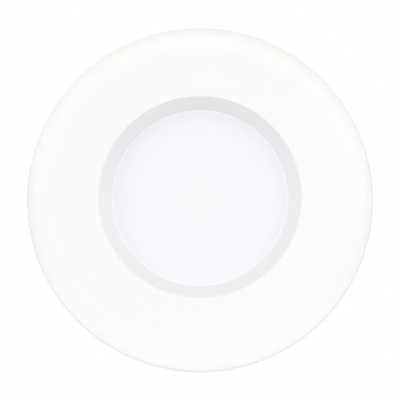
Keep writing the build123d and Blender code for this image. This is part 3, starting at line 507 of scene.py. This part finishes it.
# after the name come the colour, roughness, grain per metre and depth of the grain in metres
materialOf = {
    "white_coat": whiteCoat(),
    "opal_lens": opalLens(),
    "cast_aluminium": metal("castAluminium", (0.62, 0.63, 0.65), 0.46, 1400, 0.00005, contrast=0.08),
    "zinc_steel": metal("zincSteel", (0.66, 0.68, 0.71), 0.3, 900, 0.000015, contrast=0.1),
    "spring_steel": metal("springSteel", (0.56, 0.57, 0.59), 0.24, 1200, 0.00001, (1, 6, 0.4)),
    "nickel": metal("nickel", (0.72, 0.7, 0.66), 0.16, 700, 0.000005, contrast=0.05),
    "brass": metal("brass", (0.78, 0.6, 0.28), 0.28, 900, 0.00001),
    "ferrite": metal("ferrite", (0.12, 0.12, 0.13), 0.6, 1500, 0.00003),
    "capacitor_sleeve": plastic("capacitorSleeve", (0.04, 0.05, 0.12), 0.3, 600, 0.00001),
    "white_substrate": plastic("whiteSubstrate", (0.82, 0.82, 0.82), 0.35, 900, 0.000008),
    "phosphor": plastic("phosphor", (0.9, 0.72, 0.12), 0.5, 1500, 0.00002, 0.08),
    "black_foam": cellFoam("blackFoam", (0.035, 0.035, 0.036)),
    "clear_silicone": plastic("clearSilicone", (0.72, 0.73, 0.74), 0.35, 500, 0.00002),
    "black_rubber": plastic("blackRubber", (0.028, 0.028, 0.029), 0.62, 1600, 0.00004, 0.2),
    "grey_pad": plastic("greyPad", (0.3, 0.32, 0.36), 0.8, 1200, 0.00004, 0.1),
    "white_plastic": plastic("whitePlastic", (0.8, 0.8, 0.79), 0.42, 1500, 0.00001),
    "white_gloss": plastic("whiteGloss", (0.88, 0.88, 0.88), 0.18, 300, 0.000004),
    "grey_plastic": plastic("greyPlastic", (0.74, 0.745, 0.75), 0.5, 1900, 0.00003),
    "black_plastic": plastic("blackPlastic", (0.02, 0.02, 0.021), 0.4, 1500, 0.00001, 0.2),
    "board_green": plastic("boardGreen", (0.02, 0.13, 0.05), 0.3, 500, 0.00001, 0.2),
    "yellow_tape": plastic("yellowTape", (0.75, 0.5, 0.03), 0.3, 300, 0.00002, 0.1),
    "fuse_body": plastic("fuseBody", (0.16, 0.05, 0.03), 0.3, 500, 0.00001, 0.1),
    "red_insulation": plastic("redInsulation", (0.55, 0.02, 0.015), 0.38, 800, 0.00001, 0.08),
    "black_insulation": plastic("blackInsulation", (0.02, 0.02, 0.02), 0.38, 800, 0.00001, 0.1),
    "brown_insulation": plastic("brownInsulation", (0.16, 0.06, 0.02), 0.38, 800, 0.00001, 0.08),
    "blue_insulation": plastic("blueInsulation", (0.02, 0.11, 0.42), 0.38, 800, 0.00001, 0.08),
}
print("materials made:", len(materialOf))

for node, cadObject in frame["nodes"].items():
    cadObject.data.materials.clear()
    cadObject.data.materials.append(materialOf[slotOf[node]])


def install(piece, node, *moreNodes):
    # the piece takes the node's body, place and finish
    piece.data.materials.append(materialOf[slotOf[node]])
    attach(piece, body_of(frame["nodes"][node])[0])
    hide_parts(node, *moreNodes)
    return piece


# Bezel: rim, rounded shoulder, flat face and shallow cone, one turned profile

bezelValues = {
    "wall": 1.2,
    "coneOuter": 25.6,
    "coneInner": 22.5,
    "coneDepth": 2.6,
    "land": 0.3,
    "edgeRounding": 0.12,
    "backRounding": 0.4,
    "coneRounding": 0.1,      # where the flat face turns into the cone
}


def makeBezel():
    values = bezelValues
    low, high = boxOf("bezel")
    rim, rear, face = high[0], high[2], low[2]
    shoulder = rear - face - values["land"]
    wall, soft = values["wall"], values["edgeRounding"]
    run = values["coneOuter"] - values["coneInner"]
    rise = values["coneDepth"]
    slant = np.hypot(run, rise)
    edgeHeight = face + rise
    backRadius = values["coneInner"] + wall * rise / slant
    backHeight = edgeHeight + wall * run / slant
    back = face + wall
    backOuter = backRadius + (backHeight - back) * run / rise
    profile = roundedProfile([
        (values["coneInner"], edgeHeight, soft),
        (backRadius, backHeight, soft),
        (backOuter, back, values["backRounding"]),
        (rim - wall, back, shoulder - wall),
        (rim - wall, rear, soft),
        (rim, rear, soft),
        (rim, face, shoulder),
        (values["coneOuter"], face, values["coneRounding"]),
    ], steps=6, guard=0.06)
    return install(makeObject("bezelTurned", [lathe(profile, turns=288)]), "bezel")


makeBezel()
print("bezel made")


# Lens: a shallow frosted cup with a flange behind the bezel

lensValues = {
    "wall": 1.8,
    "hollow": 20.6,
    "radius": 22.62,         # the edge tucks in close behind the bezel's lip
    "flare": 23.2,           # and widens along the back of the cone
    "flareDepth": 0.75,
    "edgeDrop": 0.07,        # how far the edge stands out towards the lip
    "frontRounding": 0.04,
    "flareRounding": 0.05,
    "neckRounding": 0.03,
    "flangeThickness": 1.4,
    "flangeRounding": 0.2,
    "hollowRounding": 0.4,
    "crown": 0.08,           # how much the front swells in its middle
    "crownMargin": 0.1,
}


def makeLens():
    values = lensValues
    low, high = boxOf("lens")
    front, back, flange = low[2], high[2], high[0]
    flangeFront = back - values["flangeThickness"]
    inner, soft = values["hollow"], values["flangeRounding"]
    outline = roundedProfile([
        (values["radius"], front - values["edgeDrop"], values["frontRounding"]),
        (values["flare"], front + values["flareDepth"], values["flareRounding"]),
        (values["flare"], flangeFront, values["neckRounding"]),
        (flange, flangeFront, soft),
        (flange, back, soft),
        (inner, back, soft),
        (inner, front + values["wall"], values["hollowRounding"]),
        (0, front + values["wall"], 0),
    ], steps=8, guard=0.03)
    reach = np.linspace(0, values["radius"] - values["frontRounding"] - values["crownMargin"], num=40)
    share = reach / values["radius"]
    # height = front - edge drop - crown x (1 - share squared): the swelling stands nearest the room
    crown = front - values["edgeDrop"] - values["crown"] * (1 - share ** 2)
    profile = np.concatenate([np.column_stack([reach, crown]), outline])
    return install(makeObject("lensTurned", [lathe(profile, turns=240)]), "lens")


makeLens()
print("lens made")


# Heat sink: turned flange and spigot, with fins, bosses and posts on top

sinkValues = {
    "flangeRadius": 41.0,
    "tabRadius": 42.2,
    "spigotRadius": 34.0,
    "counterbore": 31.3,
    "chamber": 28.5,
    "ledge": -0.9,
    "platformBottom": 9.5,
    "platformTop": 13.5,
    "finCount": 30,
    "finThickness": 1.5,
    "finRadius": 33.6,
    "coreRadius": 15.0,
    "bossFace": 26.5,
    "bossHalfWidth": 8.5,
    "postCircle": 30.2,
    "postRadius": 3.2,
    "postAngles": (90, 210, 330),
    "magnetCircle": 36.5,
    "magnetPostRadius": 2.5,
    "magnetPocket": 2.0,
    "magnetDepth": 1.1,
    "magnetCount": 3,
    "magnetStandoff": 0.5,    # from the magnet's front back to the holder's front
    "magnetRoundings": (0.15, 0.2),
    "tabAngle": 60.0,
    "tabWidth": 4.0,
    "tabThickness": 0.8,
    "tabCorner": 0.4,
    "tabEdge": 0.2,
    "overlap": 0.4,           # how deep fins, bosses and posts start in the platform
    "holderOverlap": 0.3,
    "tabOverlap": 2.0,
    "finOverlap": 2.0,
    "bossOverlap": 4.0,
    "bossMargin": 1.0,
    "finCorner": 0.55,
    "bossCorner": 0.6,
    "topEdge": 0.35,
    "flangeEdge": 0.35,
    "boreEdge": 0.2,
    "ledgeEdge": 0.1,
    "chamberEdge": 0.8,
    "spigotFoot": 0.5,
    "spigotTop": 0.4,
    "coreTop": 0.4,
}


def onCircle(radius, degrees):
    return radius * cos(radians(degrees)), radius * sin(radians(degrees))


def sinkFins(upright):
    # the fins stand evenly around the core, save where the clips' bosses are
    values = sinkValues
    length = values["finRadius"] - values["coreRadius"] + values["finOverlap"]
    outline = roundedRectangle(length / 2, values["finThickness"] / 2, values["finCorner"], steps=4)
    fin = shifted(stackedOutline(outline, upright), x=values["finRadius"] - length / 2)
    fins = []
    for step in range(values["finCount"]):
        degrees = step * 360 / values["finCount"]
        aside = abs(values["bossFace"] * tan(radians(degrees % 180)))
        if aside >= values["bossHalfWidth"] - values["bossMargin"]:
            fins.append(turned(fin, degrees))
    return fins


def sinkBosses(upright):
    values = sinkValues
    face, back = values["bossFace"], values["coreRadius"] - values["bossOverlap"]
    outline = roundedRectangle((face - back) / 2, values["bossHalfWidth"], values["bossCorner"])
    boss = shifted(stackedOutline(outline, upright), x=(face + back) / 2)
    return [boss, mirrored(boss)]


def sinkHoldersAndTabs(flangeFront, flangeTop):
    # a holder for each of the bezel's magnets, and a tab on the flange's rim between each two of them
    values = sinkValues
    front = boxOf("bezel_magnet_1")[0][2] + values["magnetStandoff"]
    root, pocket = flangeFront + values["holderOverlap"], front + values["magnetDepth"]
    innerEdge, outerEdge = values["magnetRoundings"]
    holder = roundedProfile([
        (0, root, 0),
        (0, pocket, 0),
        (values["magnetPocket"], pocket, 0),
        (values["magnetPocket"], front, innerEdge),
        (values["magnetPostRadius"], front, outerEdge),
        (values["magnetPostRadius"], root, 0),
    ])
    inner, outer = values["flangeRadius"] - values["tabOverlap"], values["tabRadius"]
    outline = roundedRectangle((outer - inner) / 2, values["tabWidth"] / 2, values["tabCorner"], steps=4)
    side = slabProfile(flangeTop - values["tabThickness"], flangeTop, values["tabEdge"])
    tab = shifted(stackedOutline(outline, side), x=(outer + inner) / 2)
    parts = []
    for step in range(values["magnetCount"]):
        degrees = step * 360 / values["magnetCount"]
        parts.append(lathe(holder, 48, onCircle(values["magnetCircle"], degrees)))
        parts.append(turned(tab, degrees + values["tabAngle"]))
    return parts


def makeHeatSink():
    values = sinkValues
    _, high = boxOf("heat_sink")
    gasketLow, _ = boxOf("ceiling_gasket")
    _, ringHigh = boxOf("lens_ring")
    flangeTop, flangeFront, finTop = gasketLow[2], ringHigh[2], high[2]
    platformTop = values["platformTop"]
    parts = [lathe(roundedProfile([
        (0, values["platformBottom"], 0),
        (values["chamber"], values["platformBottom"], values["chamberEdge"]),
        (values["chamber"], values["ledge"], values["ledgeEdge"]),
        (values["counterbore"], values["ledge"], values["ledgeEdge"]),
        (values["counterbore"], flangeFront, values["boreEdge"]),
        (values["flangeRadius"], flangeFront, values["flangeEdge"]),
        (values["flangeRadius"], flangeTop, values["flangeEdge"]),
        (values["spigotRadius"], flangeTop, values["spigotFoot"]),
        (values["spigotRadius"], platformTop, values["spigotTop"]),
        (0, platformTop, 0),
    ]), turns=240)]
    core = roundedProfile([
        (0, platformTop, 0), (values["coreRadius"], platformTop, 0),
        (values["coreRadius"], finTop, values["coreTop"]), (0, finTop, 0),
    ])
    parts.append(lathe(core, turns=96))
    rooted = platformTop - values["overlap"]
    upright = slabProfile(rooted, finTop, values["topEdge"])
    parts += sinkFins(upright) + sinkBosses(upright)
    post = roundedProfile([
        (0, rooted, 0), (values["postRadius"], rooted, 0),
        (values["postRadius"], finTop, values["topEdge"]), (0, finTop, 0),
    ])
    for degrees in values["postAngles"]:
        parts.append(lathe(post, 48, onCircle(values["postCircle"], degrees)))
    parts += sinkHoldersAndTabs(flangeFront, flangeTop)
    return install(makeObject("heatSinkCast", parts, smoothAngle=40), "heat_sink")


makeHeatSink()
print("heat sink made")


# Driver housing and base: turned shells with three screw lugs each

driverValues = {
    "radius": 27.5,
    "wall": 1.6,
    "topRounding": 1.5,
    "lugReach": 30.2,
    "lugRadius": 3.4,
    "lugThickness": 1.6,
    "lugOverlap": 1.2,
    "lugEdge": 0.3,
    "lugAngles": (90, 210, 330),
    "draft": 0.25,        # the housing narrows this much towards its top
    "footRounding": 0.2,
    "innerRounding": 0.6,
    "plateRounding": 0.3,
}


def lugParts(low, high):
    values = driverValues
    inner = values["radius"] - values["lugOverlap"]
    outline = lugOutline(inner, values["lugReach"], values["lugRadius"])
    lug = stackedOutline(outline, slabProfile(low, high, values["lugEdge"]))
    return [turned(lug, degrees) for degrees in values["lugAngles"]]


def makeDriverHousing():
    values = driverValues
    low, high = boxOf("driver_housing")
    bottom, top, foot = low[2], high[2], values["footRounding"]
    inner, ceiling = values["radius"] - values["wall"], top - values["wall"]
    shell = roundedProfile([
        (values["radius"], bottom, foot),
        (values["radius"] - values["draft"], top, values["topRounding"]),
        (0, top, 0),
        (0, ceiling, 0),
        (inner - values["draft"], ceiling, values["innerRounding"]),
        (inner, bottom, foot),
    ])
    parts = [lathe(shell)] + lugParts(bottom, bottom + values["lugThickness"])
    return install(makeObject("driverHousingMoulded", parts, smoothAngle=40), "driver_housing")


def makeDriverBase():
    values = driverValues
    low, _ = boxOf("driver_base")
    bottom, top = low[2], boxOf("driver_housing")[0][2]
    radius, soft = values["radius"], values["plateRounding"]
    plate = roundedProfile([(0, bottom, 0), (radius, bottom, soft), (radius, top, soft), (0, top, 0)])
    parts = [lathe(plate)] + lugParts(bottom, top)
    return install(makeObject("driverBaseMoulded", parts, smoothAngle=40), "driver_base")


makeDriverHousing()
makeDriverBase()
print("driver housing made")


# Ceiling gasket: a soft foam ring with rounded edges

gasketValues = {
    "inner": 35.2,
    "frontRounding": 0.1,
    "rearRounding": 0.4,
}


def makeGasket():
    values = gasketValues
    low, high = boxOf("ceiling_gasket")
    inner, outer, bottom, top = values["inner"], high[0], low[2], high[2]
    front, rear = values["frontRounding"], values["rearRounding"]
    ring = roundedProfile([
        (inner, bottom, front), (outer, bottom, front), (outer, top, rear), (inner, top, rear),
    ])
    return install(makeObject("gasketFoam", [lathe(ring)]), "ceiling_gasket")


makeGasket()
print("ceiling gasket made")


# Clips: the arms, brackets and pads keep their CAD form with soft edges; the springs are wound here

springValues = {
    "pivotX": 30.9,
    "pivotZ": 25.0,
    "wire": 0.45,
    "coil": 2.2,
    "restAngle": 22.0,
    "turns": 4,
    "ease": 90.0,            # the turn over which the coil's rise eases in and out
    "armLeg": 17.0,
    "armLegStart": 0.3,
    "plateX": 27.0,          # the bracket's plate, where the foot rests
    "footAngle": 90.0,
    "footTurn": 150.0,
    "footClearance": 0.06,
}
clipEdges = {
    "clip_bracket": 0.18, "clip_arm": 0.15, "clip_pad": 0.25, "clip_pin": 0.2, "clip_screws": 0.3,
}


def aboutPin(angle, y):
    x = springValues["pivotX"] + springValues["coil"] * np.cos(angle)
    z = springValues["pivotZ"] + springValues["coil"] * np.sin(angle)
    return np.column_stack([x, y, z])


def springPath():
    # a coil about the pin with one leg along the arm, and beside its last turn a part turn that ends in
    # the other leg, the foot, against the bracket
    values = springValues
    _, high = boxOf("right_torsion_spring")
    halfLength = high[1] - values["wire"]
    start = radians(values["restAngle"])
    end = radians(360 * values["turns"] + values["footAngle"])
    angle = np.linspace(start, end, num=48 * values["turns"])
    ease = radians(values["ease"])
    slope = np.minimum(1, np.minimum((angle - start) / ease, (end - angle) / ease))
    rise = np.concatenate([[0], np.cumsum((slope[1:] + slope[:-1]) / 2)])
    wound = 2 * halfLength - 2 * values["wire"] - values["footClearance"]
    y = -halfLength + wound * rise / rise[-1]
    coil = aboutPin(angle, y)
    turn = np.linspace(end - radians(values["footTurn"]), end, num=24)
    lastTurn = aboutPin(turn, np.full(len(turn), halfLength))
    along = np.linspace(values["armLeg"], values["armLegStart"], num=20)[:, None]
    armLeg = coil[0] + along * np.array([sin(start), 0, -cos(start)])
    foot = np.linspace(lastTurn[-1], [values["plateX"], halfLength, lastTurn[-1, 2]], num=8)[1:]
    return np.concatenate([armLeg, coil]), np.concatenate([lastTurn, foot])


def makeClips():
    for side in ("left", "right"):
        for piece, width in clipEdges.items():
            install(softCopy(f"{side}_{piece}", width), f"{side}_{piece}")
        wound, foot = [tube(path, springValues["wire"], (0, 1, 0)) for path in springPath()]
        if side == "left":
            wound, foot = mirrored(wound), mirrored(foot)
        spring = f"{side}_torsion_spring"
        install(makeObject(f"{side}SpringWound", [wound], smoothAngle=50), spring)
        # the foot stays on the bracket while the coil turns with the arm
        footPiece = install(makeObject(f"{side}SpringFoot", [foot], smoothAngle=50), spring)
        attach(footPiece, body_of(frame["nodes"][f"{side}_clip_bracket"])[0])


makeClips()
print("clips made")


# Terminal box, lid and small hardware: CAD forms with soft edges

softEdges = {
    "terminal_box": 0.35, "terminal_lid": 0.4, "lid_hinge_pin": 0.15, "lens_ring": 0.12,
    "driver_screw_1": 0.2, "driver_screw_2": 0.2, "driver_screw_3": 0.2,
    "lens_ring_screw_1": 0.12, "lens_ring_screw_2": 0.12, "lens_ring_screw_3": 0.12,
    "bezel_magnet_1": 0.15, "bezel_magnet_2": 0.15, "bezel_magnet_3": 0.15,
    "cable_clamp_1": 0.25, "cable_clamp_2": 0.25, "cable_clamp_screws": 0.15, "box_screws": 0.15,
    "terminal_block": 0.25, "terminal_clamps": 0.15, "terminal_screws": 0.1,
}
for node, width in softEdges.items():
    install(softCopy(node, width), node)
print("terminal box and hardware made")


# Floor, light and camera

studioValues = {
    "floorHeight": -1.2,
    "floorReach": 4.0,
    "floorColor": (0.86, 0.86, 0.86),
    "floorRoughness": 0.8,
    "floorGlow": 0.25,        # lifts the floor towards white where it is seen, and leaves its shadows
    "ambient": 0.584,
    "highFill": 0.551,
    "highFillHeights": (0.4, 1),      # it rises between these heights of the view direction
    "lowFill": 0.06,
    "lowFillHeights": (0.1, 0.8),     # it fades between these
    "keyPower": 0.79,
    "keyPlace": (0, 0.7, -0.25),
    "keySize": 0.3,
    "keyColor": (1, 1, 0.85),
    "rightPower": 0.86,
    "rightPlace": (-0.7, 0.1, -0.22),
    "rightSize": 0.3,
    "rightColor": (1, 1, 1),
    "leftPower": 1.0,
    "leftPlace": (0.7, 0.1, -0.22),
    "leftSize": 0.3,
    "leftColor": (1, 1, 1),
    "nearPower": 0.075,
    "nearPlace": (-0.12, -0.2, -0.2),
    "nearSize": 0.12,
    "nearColor": (0.98, 0.96, 1.1),
    "lowPower": 0.66,
    "lowPlace": (0.06, -0.6, 0.05),
    "lowSize": 0.15,
    "lowColor": (1, 1, 1),
    "frontPower": 2.4,
    "frontPlace": (0, 0, -1.15),
    "frontSize": 1.4,
    "frontColor": (1, 1, 1),
}


def seenRays(nodes, links):
    # 1 for what the camera sees directly, in a reflection or through the lens
    path = nodes.new("ShaderNodeLightPath")
    seen = path.outputs["Is Camera Ray"]
    for other in ("Is Glossy Ray", "Is Transmission Ray"):
        either = nodes.new("ShaderNodeMath")
        either.operation = "MAXIMUM"
        links.new(seen, either.inputs[0])
        links.new(path.outputs[other], either.inputs[1])
        seen = either.outputs["Value"]
    return seen


def makeFloor():
    values = studioValues
    reach, height = values["floorReach"], values["floorHeight"]
    corners = [(x * reach, y * reach, height) for x, y in ((-1, -1), (1, -1), (1, 1), (-1, 1))]
    mesh = bpy.data.meshes.new("floor")
    mesh.from_pydata(corners, [], [(0, 1, 2, 3)])
    floor = bpy.data.objects.new("floor", mesh)
    bpy.context.scene.collection.objects.link(floor)
    color, roughness = values["floorColor"], values["floorRoughness"]
    material, nodes, links, shader = newMaterial("paleFloor", color, roughness)
    shader.inputs["Emission Color"].default_value = (1, 1, 1, 1)
    glow = spread(nodes, links, seenRays(nodes, links), 0, values["floorGlow"])
    links.new(glow, shader.inputs["Emission Strength"])
    mesh.materials.append(material)


def makeLamp(name):
    # a round lamp that faces the light's middle
    place = Vector(studioValues[name + "Place"])
    data = bpy.data.lights.new(name, "AREA")
    data.energy = studioValues[name + "Power"]
    data.color = studioValues[name + "Color"]
    data.shape = "DISK"
    data.size = studioValues[name + "Size"]
    lamp = bpy.data.objects.new(name, data)
    bpy.context.scene.collection.objects.link(lamp)
    lamp.location = place
    lamp.rotation_euler = (-place).to_track_quat("-Z", "Y").to_euler()


def makeWorld():
    # seen directly or in a reflection the world is white; on matt surfaces it is a softer fill
    values = studioValues
    world = bpy.data.worlds.new("studio")
    bpy.context.scene.world = world
    world.use_nodes = True
    nodes, links = world.node_tree.nodes, world.node_tree.links
    background = nodes["Background"]
    background.inputs["Color"].default_value = (1, 1, 1, 1)
    direction = nodes.new("ShaderNodeTexCoord")
    parts = nodes.new("ShaderNodeSeparateXYZ")
    links.new(direction.outputs["Generated"], parts.inputs["Vector"])
    # the low fill stands behind the rim on the picture's lower side, just over the horizon
    lowGlow = nodes.new("ShaderNodeMath")
    lowGlow.operation = "MULTIPLY"
    sideways, upwards = parts.outputs["Y"], parts.outputs["Z"]
    links.new(spread(nodes, links, sideways, values["lowFill"], 0, -1, 0), lowGlow.inputs[0])
    links.new(spread(nodes, links, upwards, 1, 0, *values["lowFillHeights"]), lowGlow.inputs[1])
    highGlow = spread(nodes, links, upwards, 0, values["highFill"], *values["highFillHeights"])
    upper = nodes.new("ShaderNodeMath")
    upper.inputs[0].default_value = values["ambient"]
    links.new(highGlow, upper.inputs[1])
    total = nodes.new("ShaderNodeMath")
    links.new(upper.outputs["Value"], total.inputs[0])
    links.new(lowGlow.outputs["Value"], total.inputs[1])
    mixer = nodes.new("ShaderNodeMix")
    links.new(seenRays(nodes, links), mixer.inputs["Factor"])
    links.new(total.outputs["Value"], mixer.inputs["A"])
    mixer.inputs["B"].default_value = 1.0
    links.new(mixer.outputs["Result"], background.inputs["Strength"])


makeFloor()
for lamp in ("key", "right", "left", "near", "low", "front"):
    makeLamp(lamp)
makeWorld()
bpy.context.scene.view_settings.view_transform = "Standard"

cameraValues = {
    "distance": 0.6,
    "tilt": 6.2,                  # degrees off the light's axis
    "framePixels": 400,
    "silhouettePixels": 172.8,    # the rim's radius in the photograph
    "lookAt": (0, -0.0002, -0.0007),
    "sensor": 36,
}


def makeCamera():
    values = cameraValues
    tilt = radians(values["tilt"])
    target = Vector(values["lookAt"])
    backward = Vector((0, -sin(tilt), -cos(tilt)))
    rightward = Vector((-1, 0, 0))   # seen from below, with +Y at the picture's top
    upward = backward.cross(rightward)
    place = target + backward * values["distance"]
    # half the frame = rim's radius x half the frame's pixels / the rim's radius in pixels
    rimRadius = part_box("bezel")[1].x
    halfFrame = rimRadius * values["framePixels"] / 2 / values["silhouettePixels"]
    data = bpy.data.cameras.new("camera")
    data.sensor_width = values["sensor"]
    data.lens = values["sensor"] / 2 * values["distance"] / halfFrame
    camera = bpy.data.objects.new("camera", data)
    bpy.context.scene.collection.objects.link(camera)
    turn = Matrix((rightward, upward, backward)).transposed()
    camera.matrix_world = Matrix.Translation(place) @ turn.to_4x4()
    bpy.context.scene.camera = camera


makeCamera()
print("camera and light set")
